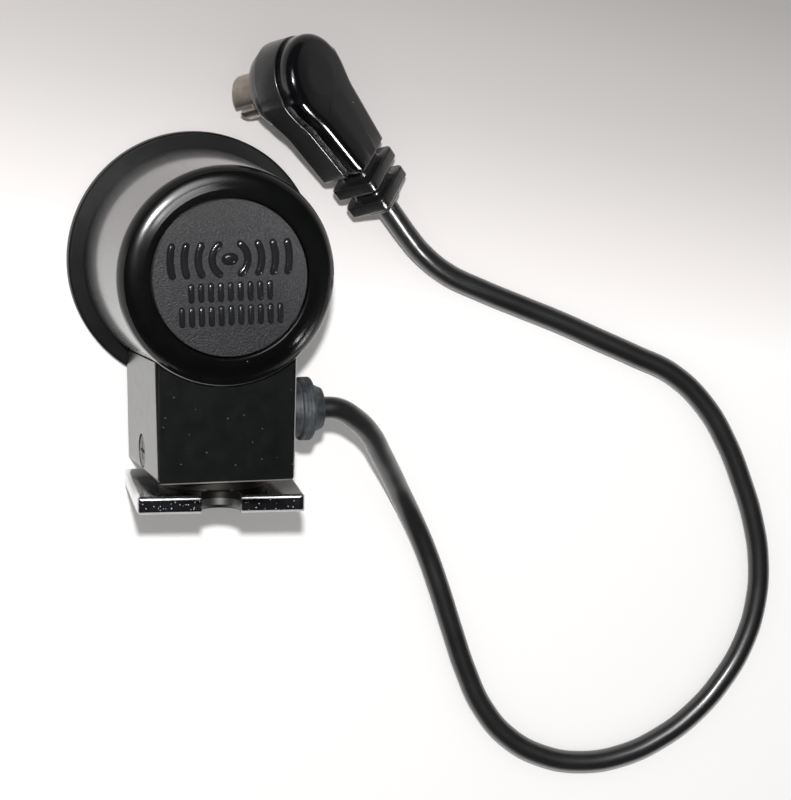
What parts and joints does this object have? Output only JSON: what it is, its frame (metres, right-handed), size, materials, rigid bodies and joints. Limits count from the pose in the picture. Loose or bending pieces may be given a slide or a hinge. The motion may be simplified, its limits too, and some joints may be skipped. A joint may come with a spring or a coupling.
{
  "type": "electric shutter release receiver",
  "caption": "Round infrared receiver head with an accessory-shoe foot that swivels, and a cord with a right-angle plug for a camera.",
  "frame": {"origin": "centre of the round rear opening, on the plane that the rear rim rests on", "axes": "+Z along the barrel axis from the rear opening to the name disc, -Y from the barrel to the shoe foot, +X to the side that the cord leaves"},
  "size_m": [0.0867, 0.0902, 0.0219],
  "materials": {
    "black_plastic": "satin black",
    "bezel_plastic": "satin black",
    "disc_plastic": "pebbled charcoal",
    "filter_plastic": "dark red, infrared passing",
    "inner_plastic": "matt black",
    "rubber_grey": "matt",
    "cord_jacket": "smooth, semi-gloss",
    "plug_gloss": "gloss black",
    "plug_matt": "satin black",
    "chrome": "polished, lightly pitted",
    "steel": "plain",
    "black_steel": "blackened",
    "nickel": "tarnished nickel",
    "gold": "gilt",
    "insulator": "plain",
    "board": "solder mask",
    "parts": "moulded",
    "tin": "tinned",
    "wire": "insulation",
    "fibre": "vulcanised fibre"
  },
  "bodies": {
    "head": {"barrel_shell": "black_plastic", "name_disc": "disc_plastic", "rear_bezel": "bezel_plastic", "filter_window": "filter_plastic", "window_ring": "inner_plastic", "diode_hood": "inner_plastic", "photodiode": "parts", "sensor_board": "board", "board_screws": "steel", "shield_can": "tin", "board_parts": "parts", "housing_block": "black_plastic", "base_plate": "black_plastic", "side_screws": "black_steel", "saddle_screws": "steel", "switch_board": "board", "switch_parts": "parts", "grommet": "rubber_grey", "cord_ferrule": "tin", "leads": "wire", "cord": "cord_jacket", "plug_upper_shell": "plug_gloss", "plug_lower_shell": "plug_matt", "plug_boot": "plug_matt", "plug_sleeve": "nickel", "plug_insulator": "insulator", "plug_pins": "gold", "plug_cores": "wire"},
    "foot": {"foot_plate": "chrome", "swivel_post": "steel", "friction_washer": "fibre", "disc_spring": "steel", "retaining_clip": "steel"}
  },
  "joints": [
    {"name": "foot_swivel", "type": "hinge", "parent": "head", "child": "foot", "pos_m": [0, -0.0236, 0.012], "axis": [0, -1, 0], "continuous": true}
  ]
}
